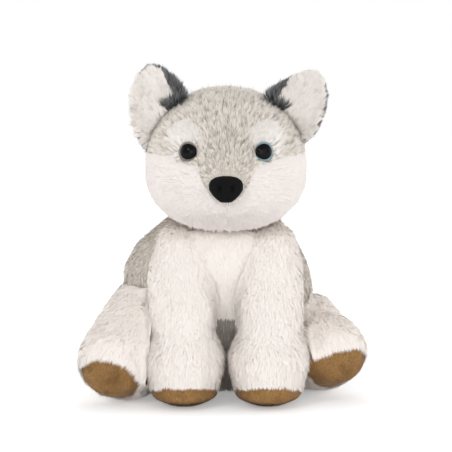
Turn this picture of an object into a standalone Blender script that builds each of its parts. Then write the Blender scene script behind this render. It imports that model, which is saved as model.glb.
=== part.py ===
"""A seated plush dog: panels of pile fabric over stuffed cores, two plastic eyes and a flocked nose.

Metres, +Z up. The dog faces -Y, its own left is at +X, and the origin is the centre of its flat seat.
"""

import math

import bmesh
import bpy
import numpy as np
from mathutils import Matrix, Vector
from mathutils.bvhtree import BVHTree

# Cloth and seams
CLOTH = 0.003  # a panel: woven backing and packed pile
GAP = 0.0003  # between any two pieces that touch

# Torso, a pear that sits upright and leans forward
TORSO_HEIGHT = 0.166
TORSO_WIDTH = 0.160
TORSO_DEPTH = 0.108
TORSO_LEAN = 0.026  # how far the neck lies in front of the seat
TORSO_SWAY = 0.0085  # how far the waist leans to the dog's right
SIDE_SEAM_Y = -0.057  # the white chest panel lies in front of this plane

# Head, a loft from the muzzle's tip to the back of the skull
HEAD_WIDTH = 0.138
HEAD_HEIGHT = 0.119
SKULL_DEPTH = 0.104  # from the brow to the back of the head
MUZZLE_LENGTH = 0.052
MUZZLE_CAP = 0.010  # the length over which its front rounds off
HEAD_Y = -0.030  # the middle of the skull
NECK_OVERLAP = 0.022  # how far the torso's top would reach into the head

# Face
EYE_DIAMETER = 0.0170
EYE_DOME = 0.0070
EYE_SPACING = 0.063
EYE_HEIGHT = 0.0675  # above the chin
EYE_TURN = math.radians(34)
EYE_SINK = 0.0012
EYE_LIFT = 0.10  # how far its axis tips upwards
NOSE_WIDTH = 0.0290
NOSE_HEIGHT_SIZE = 0.0225
NOSE_DOME = 0.0110
NOSE_HEIGHT = 0.0378  # its middle, above the chin
NOSE_SINK = 0.0022
NOSE_LIFT = 0.12
STEM_REACH = 0.0020  # how far the nose's stem runs into its button
NOSTRIL_SPACING = 0.0100
NOSTRIL_DIAMETER = 0.0046
SHANK_DIAMETER = 0.0045
SHANK_LENGTH = 0.0130
WASHER_DIAMETER = 0.0150
WASHER_THICKNESS = 0.0016
WASHER_DEPTH = 0.0016  # the washer's face, inside the cloth's inner side
FACE_SEAM_HEIGHT = 0.063  # the grey crown's lower edge at the cheek, above the chin
BRIDGE_TOP_WIDTH = 0.054
BRIDGE_NOSE_WIDTH = 0.034
BRIDGE_NOSE_FLARE = 0.004  # how much wider each side is at the nose's top
CHEEK_BACK_Y = 0.012  # the cheek panels end here, behind the skull's middle
BROW_WIDTH = 0.0245
BROW_HEIGHT = 0.0150
BROW_SPACING = 0.0655
BROW_RISE = 0.0155  # above the eye's centre

# Ears, a dark back and a white lining sewn round the edge
EAR_LENGTH = 0.056
EAR_WIDTH = 0.0515
EAR_CLOTH = 0.0028
EAR_CUP = 0.012
EAR_ROOT = 0.012  # how deep the ear would reach into the head
EAR_LINING_INSET = 0.0022
EAR_Y = 0.004  # in front of the skull's middle

# Front legs, standing in front of the chest
FRONT_LEG_WIDTH = 0.056
FRONT_LEG_SPREAD = 0.072
FRONT_LEG_LENGTH = 0.150
FRONT_LEG_Y = -0.093  # the paw's middle
FRONT_LEG_SLOPE = 0.052  # how far the shoulder lies behind the paw
FRONT_PAW_WIDTH = 0.077
FRONT_PAW_DEPTH = 0.080
FRONT_SOLE_RISE = 0.0255  # the sole's edge at the toe
SOLE_HEEL_RISE = 0.004

# Hind legs, lying along the floor
HIND_LEG_WIDTH = 0.082
HIND_LEG_HEIGHT = 0.104
HIND_PAW_WIDTH = 0.067
HIND_PAW_HEIGHT = 0.068
HIND_SOLE_DEPTH = 0.014  # the sole's cap along the leg, at the height below
HIND_SOLE_EDGE = 0.026
HIND_SOLE_TILT = 0.75  # how fast the sole's seam runs back towards the floor

# Tail
TAIL_LENGTH = 0.072
TAIL_THICKNESS = 0.042
TAIL_HEIGHT = 0.040
TAIL_ROOT = 0.016  # how deep the tail would reach into the body

FLOOR = 0.0
SIDES = {"left": 1.0, "right": -1.0}

CHIN_Z = TORSO_HEIGHT - NECK_OVERLAP
HEAD_Z = CHIN_Z + HEAD_HEIGHT / 2

# Each side's own pose, because a soft toy never sits quite evenly
EAR_LEAN = {"left": math.radians(31), "right": math.radians(12)}
EAR_AROUND = {"left": math.radians(56), "right": math.radians(57)}
HIND_HIP = {"left": (0.062, 0.010), "right": (-0.058, 0.004)}
HIND_TURN = {"left": math.radians(21), "right": math.radians(20)}
HIND_LENGTH = {"left": 0.106, "right": 0.124}
HIND_THIGH = {"left": 0.84, "right": 1.0}
HIND_PAW = {"left": 0.91, "right": 1.0}
HIND_LIFT = {"left": 0.011, "right": 0.004}

# Colours (linear), roughness
WHITE_PILE = ((0.86, 0.83, 0.80), 0.95)
GREY_PILE = ((0.52, 0.49, 0.46), 0.95)
DARK_PILE = ((0.060, 0.066, 0.075), 0.95)
BROWN_VELVET = ((0.21, 0.125, 0.070), 0.85)
STUFFING_WHITE = ((0.90, 0.90, 0.88), 1.0)
BLACK_GLOSS = ((0.010, 0.009, 0.009), 0.08)
BLACK_FLOCK = ((0.012, 0.012, 0.013), 0.80)
CLEAR_NYLON = ((0.70, 0.70, 0.68), 0.45)


def material(name, look):
    """A Principled material from a colour and a roughness."""
    found = bpy.data.materials.get(name)
    if found:
        return found
    made = bpy.data.materials.new(name)
    made.use_nodes = True
    shader = made.node_tree.nodes["Principled BSDF"]
    colour, roughness = look
    shader.inputs["Base Color"].default_value = (*colour, 1.0)
    shader.inputs["Roughness"].default_value = roughness
    shader.inputs["Metallic"].default_value = 0.0
    return made


def mesh_object(name, points, faces, look=None):
    """A mesh object with its own material, or a bare tool for a cut."""
    mesh = bpy.data.meshes.new(name)
    mesh.from_pydata([tuple(p) for p in points], [], faces)
    mesh.validate()
    made = bpy.data.objects.new(name, mesh)
    bpy.context.scene.collection.objects.link(made)
    if look:
        mesh.materials.append(material(look[0], look[1]))
    return made


def boolean(target, tool, operation):
    """Applies one exact Boolean to the target and removes the tool."""
    modifier = target.modifiers.new("cut", "BOOLEAN")
    modifier.operation = operation
    modifier.solver = "EXACT"
    modifier.object = tool
    graph = bpy.context.evaluated_depsgraph_get()
    result = bpy.data.meshes.new_from_object(target.evaluated_get(graph))
    target.modifiers.remove(modifier)
    old = target.data
    slots = list(old.materials)
    target.data = result
    result.materials.clear()
    for slot in slots:
        result.materials.append(slot)
    result.polygons.foreach_set("material_index", [0] * len(result.polygons))
    bpy.data.meshes.remove(old)
    bpy.data.objects.remove(tool)


def interpolate(rows, place):
    """A smooth curve through rows of (place, values...), level at its two ends."""
    places = [row[0] for row in rows]
    k = min(max(int(np.searchsorted(places, place, side="right")) - 1, 0), len(rows) - 2)
    before, start, end, after = (
        np.array(rows[min(max(i, 0), len(rows) - 1)], float) for i in (k - 1, k, k + 1, k + 2)
    )
    span = end[0] - start[0]
    t = min(max((place - start[0]) / span, 0.0), 1.0)
    slope_in = (end[1:] - before[1:]) / (end[0] - before[0]) * span
    slope_out = (after[1:] - start[1:]) / (after[0] - start[0]) * span
    return (
        (2 * t**3 - 3 * t**2 + 1) * start[1:]
        + (t**3 - 2 * t**2 + t) * slope_in
        + (3 * t**2 - 2 * t**3) * end[1:]
        + (t**3 - t**2) * slope_out
    )


def ring_faces(rings, sides):
    """Triangles of a tube of rings, closed by a pole at each end (the last two points)."""
    first, last = rings * sides, rings * sides + 1
    faces = []
    for r in range(rings - 1):
        for s in range(sides):
            a, b = r * sides + s, r * sides + (s + 1) % sides
            faces += [(a, b, b + sides), (a, b + sides, a + sides)]
    for s in range(sides):
        n = (s + 1) % sides
        faces.append((first, n, s))
        faces.append((last, (rings - 1) * sides + s, (rings - 1) * sides + n))
    return faces


def stuffed_form(rows, frame, caps, rings, sides, square=2.0, pear=0.0):
    """A closed soft form lofted from oval sections that stand along the frame's third axis.

    A row is (distance, sideways, up, half width, half height). The caps are the lengths over which
    the two ends round off. Pear widens each section towards its lower side.
    """
    start, end = rows[0][0], rows[-1][0]
    first, last = caps
    n_cap = max(rings // 4, 2)
    n_mid = rings - 2 * n_cap
    angles = [(k + 0.75) / (n_cap + 0.75) * math.pi / 2 for k in range(n_cap)]
    places = [(start + first * (1 - math.cos(a)), math.sin(a)) for a in angles]
    middle = np.linspace(start + first, end - last, n_mid + 2)[1:-1]
    places += [(p, 1.0) for p in middle]
    places += [(end - last * (1 - math.cos(a)), math.sin(a)) for a in reversed(angles)]
    points = []
    for place, swell in places:
        across, up, wide, high = interpolate(rows, place)
        for s in range(sides):
            turn = 2 * math.pi * s / sides
            c, v = math.cos(turn), math.sin(turn)
            x = math.copysign(abs(c) ** (2 / square), c) * (1 - pear * v)
            z = math.copysign(abs(v) ** (2 / square), v)
            points.append(frame @ Vector((across + swell * wide * x, up + swell * high * z, place)))
    for place in (start, end):
        across, up, _, _ = interpolate(rows, place)
        points.append(frame @ Vector((across, up, place)))
    return np.array([tuple(p) for p in points]), ring_faces(len(places), sides)


def offset(form, distance):
    """The same form, moved out (or in, below zero) along its own normals, and flat on the floor."""
    points, faces = form
    normals = np.zeros_like(points)
    for face in faces:
        first, second, third = points[list(face)]
        normals[list(face)] += np.cross(second - first, third - first)
    normals /= np.linalg.norm(normals, axis=1)[:, None]
    moved = points + normals * distance
    moved[:, 2] = np.maximum(moved[:, 2], FLOOR - distance)
    return moved, faces


def solid(name, form, distance, look=None):
    """The filled form at an offset from its surface."""
    points, faces = offset(form, distance)
    return mesh_object(name, points, faces, look)


def panel_shell(name, form, cloth, look):
    """A closed skin of cloth on a form: its outer surface, and its inner surface turned inwards."""
    outer, faces = offset(form, 0.0)
    inner, _ = offset(form, -cloth)
    count = len(outer)
    turned = [tuple(i + count for i in reversed(face)) for face in faces]
    return mesh_object(name, np.vstack([outer, inner]), faces + turned, look)


def surface_hit(form, origin, direction):
    """Where a ray meets a form's surface, and the outward normal there."""
    points, faces = offset(form, 0.0)
    tree = BVHTree.FromPolygons([tuple(p) for p in points], faces)
    place, normal, _, _ = tree.ray_cast(Vector(origin), Vector(direction).normalized())
    return place, normal


def frame_at(origin, forward, up=(0, 0, 1)):
    """A placement whose third axis is forward and whose second axis leans towards up."""
    third = Vector(forward).normalized()
    first = Vector(up).cross(third).normalized()
    second = third.cross(first)
    turn = Matrix((first, second, third)).transposed().to_4x4()
    return Matrix.Translation(Vector(origin)) @ turn


def prism(name, outline, near, far):
    """An outline in X and Z, drawn anticlockwise as seen from -Y, extruded from near to far in Y."""
    count = len(outline)
    points = [(x, near, z) for x, z in outline] + [(x, far, z) for x, z in outline]
    faces = [tuple(range(count)), tuple(reversed(range(count, 2 * count)))]
    for k in range(count):
        n = (k + 1) % count
        faces.append((n, k, k + count, n + count))
    return mesh_object(name, points, faces)


def widened(outline, distance):
    """An anticlockwise outline moved out by a distance, with mitred corners."""
    count = len(outline)
    moved = []
    for k in range(count):
        before, here, after = (Vector(outline[(k + i) % count]) for i in (-1, 0, 1))
        ahead, behind = (after - here).normalized(), (here - before).normalized()
        out_a, out_b = Vector((ahead.y, -ahead.x)), Vector((behind.y, -behind.x))
        corner = (out_a + out_b).normalized()
        moved.append(tuple(here + corner * distance / max(corner.dot(out_a), 0.3)))
    return moved


def slab(name, point, normal, reach=0.6):
    """A large block that fills the space behind a plane, on the side away from its normal."""
    box = bmesh.new()
    bmesh.ops.create_cube(box, size=reach)
    placing = frame_at(point, normal, (0, 0.01, 1)) @ Matrix.Translation((0, 0, -reach / 2))
    bmesh.ops.transform(box, matrix=placing, verts=box.verts)
    mesh = bpy.data.meshes.new(name)
    box.to_mesh(mesh)
    box.free()
    made = bpy.data.objects.new(name, mesh)
    bpy.context.scene.collection.objects.link(made)
    return made


def revolve(name, profile, frame, look=None, segments=12):
    """A turned piece from (radius, height) pairs, from its top pole down to its bottom pole."""
    rings = len(profile) - 2
    points = []
    for radius, height in profile[1:-1]:
        for s in range(segments):
            turn = 2 * math.pi * s / segments
            points.append(frame @ Vector((radius * math.cos(turn), radius * math.sin(turn), height)))
    points += [frame @ Vector((0, 0, profile[0][1])), frame @ Vector((0, 0, profile[-1][1]))]
    faces = [tuple(reversed(face)) for face in ring_faces(rings, segments)]
    return mesh_object(name, points, faces, look)


def washer(name, frame, look):
    """A flat locking washer with a bore that clears the shank."""
    outer, inner = WASHER_DIAMETER / 2, SHANK_DIAMETER / 2 + GAP
    segments = 12
    points, faces = [], []
    for s in range(segments):
        turn = 2 * math.pi * s / segments
        c, v = math.cos(turn), math.sin(turn)
        for radius, height in ((outer, 0), (inner, 0), (inner, 1), (outer, 1)):
            points.append(frame @ Vector((radius * c, radius * v, -height * WASHER_THICKNESS)))
        here, there = 4 * s, 4 * ((s + 1) % segments)
        for k in range(4):
            n = (k + 1) % 4
            faces.append((here + k, there + k, there + n, here + n))
    return mesh_object(name, points, faces, look)


def smooth(piece):
    """Shades a piece smooth, with its true edges left sharp."""
    piece.data.shade_smooth()
    piece.data.set_sharp_from_angle(angle=math.radians(50))


def torso_form():
    """The body: a pear with a flat seat, whose neck leans forward."""
    high, half, deep = TORSO_HEIGHT, TORSO_WIDTH / 2, TORSO_DEPTH / 2
    shape = (
        (-0.06, 0.00, 0.00, 0.80, 0.80),
        (0.08, 0.00, 0.00, 0.95, 0.96),
        (0.30, 0.30, 0.12, 1.00, 1.00),
        (0.54, 0.85, 0.45, 1.04, 0.99),
        (0.69, 1.00, 0.72, 0.98, 0.99),
        (0.77, 0.90, 0.78, 0.88, 0.92),
        (0.88, 0.30, 0.88, 0.70, 0.80),
        (1.00, 0.00, 1.00, 0.54, 0.64),
    )
    rows = [
        (z * high, -sway * TORSO_SWAY, -lean * TORSO_LEAN, wide * half, depth * deep)
        for z, sway, lean, wide, depth in shape
    ]
    frame = Matrix.Identity(4)
    return stuffed_form(rows, frame, (0.13 * high, 0.10 * high), 10, 18, square=2.1)


def head_form():
    """The head: a round skull with full cheeks that runs forward into a short muzzle."""
    half, tall = HEAD_WIDTH / 2, HEAD_HEIGHT
    front = HEAD_Y - SKULL_DEPTH / 2 - MUZZLE_LENGTH / 2
    brow = HEAD_Y - SKULL_DEPTH / 2
    back = HEAD_Y + SKULL_DEPTH / 2 + 0.19 * SKULL_DEPTH
    # Share of the muzzle or skull, then half width, top and bottom as shares of the head
    muzzle = (
        (0.00, 0.20, 0.42, 0.22),
        (0.30, 0.44, 0.48, 0.11),
        (0.65, 0.70, 0.60, 0.05),
    )
    skull = (
        (0.12, 0.905, 0.865, 0.020),
        (0.30, 0.985, 0.965, 0.000),
        (0.50, 1.000, 1.000, 0.010),
        (0.68, 0.950, 0.975, 0.045),
        (0.86, 0.780, 0.880, 0.120),
        (1.00, 0.560, 0.760, 0.240),
    )
    places = [(front + share * (brow - front), *rest) for share, *rest in muzzle]
    places += [(brow + share * (back - brow), *rest) for share, *rest in skull]
    rows = []
    for y, wide, top, bottom in places:
        middle = CHIN_Z + tall * (top + bottom) / 2
        rows.append((y, 0.0, middle, wide * half, tall * (top - bottom) / 2))
    # The sections' own axes: sideways -X, up Z, along +Y
    frame = Matrix(((-1, 0, 0, 0), (0, 0, 1, 0), (0, 1, 0, 0), (0, 0, 0, 1)))
    return stuffed_form(rows, frame, (MUZZLE_CAP, 0.16 * SKULL_DEPTH), 12, 20, square=2.25, pear=0.15)


def front_leg_form(side):
    """A straight leg that widens into a paw, lofted upwards from the sole."""
    long, half = FRONT_LEG_LENGTH, FRONT_LEG_WIDTH / 2
    paw, deep = FRONT_PAW_WIDTH / 2, FRONT_PAW_DEPTH / 2
    spread = SIDES[side] * FRONT_LEG_SPREAD / 2
    rows = [
        (-0.045 * long, 0.96 * spread, FRONT_LEG_Y, 0.80 * paw, 0.80 * deep),
        (0.116 * long, 0.96 * spread, FRONT_LEG_Y, paw, deep),
        (0.232 * long, 0.97 * spread, FRONT_LEG_Y + 0.04 * FRONT_LEG_SLOPE, 0.96 * paw, 0.93 * deep),
        (0.375 * long, spread, FRONT_LEG_Y + 0.24 * FRONT_LEG_SLOPE, half, 0.72 * deep),
        (0.555 * long, 1.01 * spread, FRONT_LEG_Y + 0.48 * FRONT_LEG_SLOPE, 0.99 * half, 0.70 * deep),
        (0.76 * long, 1.04 * spread, FRONT_LEG_Y + 0.80 * FRONT_LEG_SLOPE, 0.95 * half, 0.68 * deep),
        (1.00 * long, 1.06 * spread, FRONT_LEG_Y + FRONT_LEG_SLOPE, 0.88 * half, 0.66 * deep),
    ]
    frame = Matrix.Identity(4)
    return stuffed_form(rows, frame, (0.22 * long, 0.12 * long), 9, 12, square=2.15)


def hind_leg_frame(side):
    """The hind leg's own placement: its third axis runs from the hip to the paw."""
    turn = HIND_TURN[side]
    forward = (SIDES[side] * math.sin(turn), -math.cos(turn), 0)
    x, y = HIND_HIP[side]
    return frame_at((x, y, 0), forward)


def hind_leg_form(side):
    """A thick thigh that narrows to an ankle and ends in a blunt paw."""
    long, lift = HIND_LENGTH[side], HIND_LIFT[side]
    thigh, tall = HIND_THIGH[side] * HIND_LEG_WIDTH / 2, HIND_THIGH[side] * HIND_LEG_HEIGHT / 2
    paw, rise = HIND_PAW[side] * HIND_PAW_WIDTH / 2, HIND_PAW[side] * HIND_PAW_HEIGHT / 2
    rows = [
        (-0.16 * long, 0, 0.98 * tall, 0.80 * thigh, 0.86 * tall),
        (0.14 * long, 0, 1.00 * tall, 0.98 * thigh, 1.02 * tall),
        (0.36 * long, 0, 0.92 * tall, 0.97 * thigh, 0.95 * tall),
        (0.60 * long, 0, 0.4 * lift + 0.77 * tall, 0.86 * thigh, 0.80 * tall),
        (0.80 * long, 0, lift + 0.96 * rise, 1.00 * paw, 1.00 * rise),
        (1.00 * long, 0, lift + 0.92 * rise, 0.92 * paw, 0.90 * rise),
    ]
    caps = (0.26 * long, 0.15 * long)
    return stuffed_form(rows, hind_leg_frame(side), caps, 9, 12, square=2.15)


def tail_form():
    """A short plain tail that lies on the floor behind the seat."""
    half = TAIL_THICKNESS / 2
    start = TORSO_DEPTH / 2 - TAIL_ROOT
    rows = [
        (0, 0, TAIL_HEIGHT, 0.70 * half, 0.70 * half),
        (0.45 * TAIL_LENGTH, 0, 0.72 * TAIL_HEIGHT, half, half),
        (TAIL_LENGTH, 0, 0.62 * TAIL_HEIGHT, 0.70 * half, 0.70 * half),
    ]
    caps = (0.10 * TAIL_LENGTH, 0.40 * TAIL_LENGTH)
    return stuffed_form(rows, frame_at((0, start, 0), (0, 1, 0)), caps, 7, 8)


def clear_of(piece, forms):
    """Cuts a piece back from the forms that it is sewn against."""
    for form in forms:
        boolean(piece, solid("tool", form, GAP), "DIFFERENCE")


def build_torso(torso, head):
    """The chest and back panels and the stuffing between them."""
    seam, half_gap = Vector((0, SIDE_SEAM_Y, 0)), Vector((0, GAP / 2, 0))
    chest = panel_shell("chest_panel", torso, CLOTH, ("white_pile", WHITE_PILE))
    boolean(chest, slab("tool", seam - half_gap, (0, -1, 0)), "DIFFERENCE")
    back = panel_shell("back_panel", torso, CLOTH, ("grey_pile", GREY_PILE))
    boolean(back, slab("tool", seam + half_gap, (0, 1, 0)), "DIFFERENCE")
    stuffing = solid("body_stuffing", torso, -CLOTH - GAP, ("stuffing", STUFFING_WHITE))
    for piece in (chest, back, stuffing):
        clear_of(piece, [head])


def cheek_outline(sign):
    """The white cheek as seen from the front: below the eye, beside the bridge and round the nose."""
    seam = CHIN_Z + FACE_SEAM_HEIGHT
    nose = CHIN_Z + NOSE_HEIGHT
    eye_x = EYE_SPACING / 2
    far = HEAD_WIDTH
    inner = GAP / 2
    outline = [
        (inner, CHIN_Z - far / 4),
        (far, CHIN_Z - far / 4),
        (far, seam),
        (eye_x + 0.8 * EYE_DIAMETER, seam),
        (eye_x, seam - 0.28 * EYE_DIAMETER),
        (BRIDGE_TOP_WIDTH / 2, seam - 0.20 * EYE_DIAMETER),
        (BRIDGE_NOSE_WIDTH / 2 + BRIDGE_NOSE_FLARE, nose + 0.48 * NOSE_HEIGHT_SIZE),
        (BRIDGE_NOSE_WIDTH / 2, nose),
        (0.30 * NOSE_WIDTH, nose - 0.60 * NOSE_HEIGHT_SIZE),
        (inner, nose - 0.72 * NOSE_HEIGHT_SIZE),
    ]
    if sign > 0:
        return outline
    return [(-x, z) for x, z in reversed(outline)]


def brow_outline(sign):
    """The white patch above an eye: an oval that leans in towards the bridge."""
    middle_z = CHIN_Z + EYE_HEIGHT + BROW_RISE
    lean = math.radians(14) * sign
    outline = []
    for k in range(12):
        turn = 2 * math.pi * k / 12
        x, z = BROW_WIDTH / 2 * math.cos(turn), BROW_HEIGHT / 2 * math.sin(turn)
        outline.append(
            (
                sign * BROW_SPACING / 2 + x * math.cos(lean) - z * math.sin(lean),
                middle_z + x * math.sin(lean) + z * math.cos(lean),
            )
        )
    return outline


def build_head(head):
    """The crown, cheek and brow panels and the stuffing, listed by where a shank may meet them."""
    near = HEAD_Y - SKULL_DEPTH - MUZZLE_LENGTH
    cheek_back = HEAD_Y + CHEEK_BACK_Y
    crown = panel_shell("head_crown_panel", head, CLOTH, ("grey_pile", GREY_PILE))
    stuffing = solid("head_stuffing", head, -CLOTH - GAP, ("stuffing", STUFFING_WHITE))
    pieces = {"middle": [crown, stuffing]}
    for side, sign in SIDES.items():
        outline = cheek_outline(sign)
        cheek = panel_shell(f"{side}_cheek_panel", head, CLOTH, ("white_pile", WHITE_PILE))
        boolean(cheek, prism("tool", outline, near, cheek_back), "INTERSECT")
        brow = panel_shell(f"{side}_brow_patch", head, CLOTH, ("white_pile", WHITE_PILE))
        boolean(brow, prism("tool", brow_outline(sign), near, HEAD_Y), "INTERSECT")
        wide = widened(outline, GAP)
        boolean(crown, prism("tool", wide, near, cheek_back + GAP), "DIFFERENCE")
        boolean(crown, prism("tool", widened(brow_outline(sign), GAP), near, HEAD_Y), "DIFFERENCE")
        pieces[side] = [crown, stuffing, cheek]
        pieces["middle"].append(cheek)
    return pieces


def fastened(profile_top, radius, frame, extra):
    """The room that a shanked piece and its washer take, with a gap all round."""
    shank = SHANK_DIAMETER / 2 + extra
    face = -CLOTH - GAP - WASHER_DEPTH + extra
    back = face - WASHER_THICKNESS - 2 * extra
    disc = WASHER_DIAMETER / 2 + extra
    profile = [*profile_top, (radius + extra, -extra), (shank, -extra), (shank, face), (disc, face)]
    profile += [(disc, back), (shank, back), (shank, -SHANK_LENGTH - extra), (0, -SHANK_LENGTH - extra)]
    return revolve("tool", profile, frame)


def dome_profile(radius, height, steps=3):
    """A flattened dome from its top pole to its rim, in (radius, height) pairs."""
    rim = 0.12 * height
    points = []
    for k in range(steps + 1):
        turn = math.pi / 2 * k / steps
        points.append((radius * math.sin(turn), rim + (height - rim) * math.cos(turn)))
    return points


def build_eye(side, head, head_pieces):
    """A domed eye on a shank, pushed through the crown and held by a washer."""
    sign = SIDES[side]
    radius = EYE_DIAMETER / 2
    x, z = sign * EYE_SPACING / 2, CHIN_Z + EYE_HEIGHT
    place, _ = surface_hit(head, (x, HEAD_Y - SKULL_DEPTH - MUZZLE_LENGTH, z), (0, 1, 0))
    axis = Vector((sign * math.sin(EYE_TURN), -math.cos(EYE_TURN), EYE_LIFT))
    frame = frame_at(place - axis.normalized() * EYE_SINK, axis)
    for piece in head_pieces[side]:
        top = [(0, EYE_DOME + GAP), (radius + GAP, EYE_DOME + GAP)]
        boolean(piece, fastened(top, radius, frame, GAP), "DIFFERENCE")
    shank = SHANK_DIAMETER / 2
    profile = dome_profile(radius, EYE_DOME)
    profile += [(0.94 * radius, 0), (shank, 0), (shank, -SHANK_LENGTH), (0, -SHANK_LENGTH)]
    revolve(f"{side}_eye", profile, frame, ("eye_gloss", BLACK_GLOSS))
    seat = frame @ Matrix.Translation((0, 0, -CLOTH - GAP - WASHER_DEPTH))
    washer(f"{side}_eye_washer", seat, ("nylon", CLEAR_NYLON))


def nose_outline(scale, turn):
    """A point of the nose's outline: wide and round at the top, narrow and notched at the bottom."""
    c, v = math.cos(turn), math.sin(turn)
    square = 2 / 2.3
    x = math.copysign(abs(c) ** square, c) * (1 + 0.20 * v - 0.06)
    z = math.copysign(abs(v) ** square, v)
    notch = 0.14 * math.exp(-((c / 0.22) ** 2)) if v < 0 else 0.0
    return scale * NOSE_WIDTH / 2 * x, scale * NOSE_HEIGHT_SIZE / 2 * (z + notch)


def nose_body(name, frame, extra, look=None):
    """The nose's rounded button, without its shank."""
    sides, steps = 18, 3
    base = 0.25 * NOSE_DOME
    levels = [(0.95, 0.0), (1.0, 0.10 * NOSE_DOME)]
    for k in range(steps):
        turn = math.pi / 2 * k / steps
        levels.append((math.cos(turn) ** 0.8, base + (NOSE_DOME - base) * math.sin(turn)))
    grow = 1 + 2 * extra / NOSE_HEIGHT_SIZE
    points = []
    for share, height in levels:
        for s in range(sides):
            x, z = nose_outline(share * grow, 2 * math.pi * s / sides)
            points.append(frame @ Vector((x, z, height * grow - extra)))
    points += [frame @ Vector((0, 0, -extra)), frame @ Vector((0, 0, NOSE_DOME * grow))]
    return mesh_object(name, points, ring_faces(len(levels), sides), look)


def build_nose(head, head_pieces):
    """The flocked nose on a shank, pushed through the front of the muzzle and held by a washer."""
    z = CHIN_Z + NOSE_HEIGHT
    place, _ = surface_hit(head, (0, HEAD_Y - SKULL_DEPTH - MUZZLE_LENGTH, z), (0, 1, 0))
    axis = Vector((0, -1, NOSE_LIFT)).normalized()
    frame = frame_at(place - axis * NOSE_SINK, axis)
    shank = SHANK_DIAMETER / 2
    for piece in head_pieces["middle"]:
        boolean(piece, nose_body("tool", frame, GAP), "DIFFERENCE")
        top = [(0, STEM_REACH), (shank + GAP, STEM_REACH)]
        boolean(piece, fastened(top, shank, frame, GAP), "DIFFERENCE")
    nose = nose_body("nose", frame, 0.0, ("nose_flock", BLACK_FLOCK))
    stem = [(0, STEM_REACH), (shank, STEM_REACH), (shank, -SHANK_LENGTH), (0, -SHANK_LENGTH)]
    boolean(nose, revolve("tool", stem, frame), "UNION")
    for sign in SIDES.values():
        spot = frame @ Vector((sign * NOSTRIL_SPACING / 2, 0.08 * NOSE_HEIGHT_SIZE, NOSE_DOME))
        ball = [(0.0, NOSTRIL_DIAMETER / 2)]
        for k in range(1, 5):
            turn = math.pi * k / 5
            ball.append((NOSTRIL_DIAMETER / 2 * math.sin(turn), NOSTRIL_DIAMETER / 2 * math.cos(turn)))
        ball.append((0.0, -NOSTRIL_DIAMETER / 2))
        placing = Matrix.Translation(spot) @ frame.to_3x3().to_4x4()
        boolean(nose, revolve("tool", ball, placing, segments=8), "DIFFERENCE")
    seat = frame @ Matrix.Translation((0, 0, -CLOTH - GAP - WASHER_DEPTH))
    washer("nose_washer", seat, ("nylon", CLEAR_NYLON))


def ear_outline(side):
    """The ear's outline in (sideways, up), from the root's outer corner over the tip to the inner one."""
    outline = (
        (0.38, -0.28),
        (0.46, 0.00),
        (0.495, 0.26),
        (0.45, 0.54),
        (0.375, 0.75),
        (0.24, 0.91),
        (0.05, 1.00),
        (-0.13, 0.92),
        (-0.29, 0.70),
        (-0.38, 0.52),
        (-0.44, 0.30),
        (-0.45, 0.00),
        (-0.36, -0.28),
    )
    points = [(-SIDES[side] * x * EAR_WIDTH, z * EAR_LENGTH) for x, z in outline]
    return points[::-1] if SIDES[side] > 0 else points


def ear_layer(name, outline, frame, inset, near, far, look):
    """One layer of the ear: the outline filled in rings on a cupped sheet, from near to far behind it."""
    count = len(outline)
    centre = 0.42 * EAR_LENGTH
    inner_share = 0.62

    def ring(share):
        """The outline drawn in towards the ear's middle, on the cupped sheet."""
        drawn = []
        for x, z in outline:
            cup = EAR_CUP * (2 * share * x / EAR_WIDTH) ** 2
            drawn.append(Vector((share * x, cup, centre + share * (z - centre))))
        return drawn

    trim = inset / ((1 - inner_share) * EAR_WIDTH / 2)
    inside = ring(inner_share)
    edge = [outer.lerp(inner, trim) for outer, inner in zip(ring(1.0), inside, strict=True)]
    points, faces = [], []
    for depth in (near, far):
        behind = Vector((0, -depth, 0))
        points += [frame @ (point + behind) for point in [*edge, *inside, Vector((0, 0, centre))]]
    layer = 2 * count + 1
    for k in range(count):
        n = (k + 1) % count
        for start, turned in ((0, False), (layer, True)):
            fill = [
                (start + k, start + n, start + count + n),
                (start + k, start + count + n, start + count + k),
                (start + count + k, start + count + n, start + 2 * count),
            ]
            faces += [tuple(reversed(face)) for face in fill] if turned else fill
        faces.append((n, k, layer + k, layer + n))
    return mesh_object(name, points, faces, look)


def build_ear(side, head):
    """A cupped ear of two layers, its root sewn against the side of the crown."""
    sign = SIDES[side]
    around, lean = EAR_AROUND[side], EAR_LEAN[side]
    middle = (0, HEAD_Y - EAR_Y, HEAD_Z)
    place, _ = surface_hit(head, middle, (sign * math.sin(around), 0, math.cos(around)))
    up = Vector((sign * math.sin(lean), 0, math.cos(lean)))
    # Sideways X, front Y, up Z of the ear itself
    front = Vector((sign * 0.10, -1, 0)).normalized()
    first = front.cross(up).normalized()
    turn = Matrix((first, up.cross(first).normalized(), up)).transposed().to_4x4()
    frame = Matrix.Translation(place - up * EAR_ROOT) @ turn
    near, far = GAP / 2, GAP / 2 + EAR_CLOTH
    outline = ear_outline(side)
    back = ear_layer(f"{side}_ear_back", outline, frame, 0.0, near, far, ("dark_pile", DARK_PILE))
    white = ("white_pile", WHITE_PILE)
    lining = ear_layer(f"{side}_ear_lining", outline, frame, EAR_LINING_INSET, -far, -near, white)
    for piece in (back, lining):
        clear_of(piece, [head])


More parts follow.
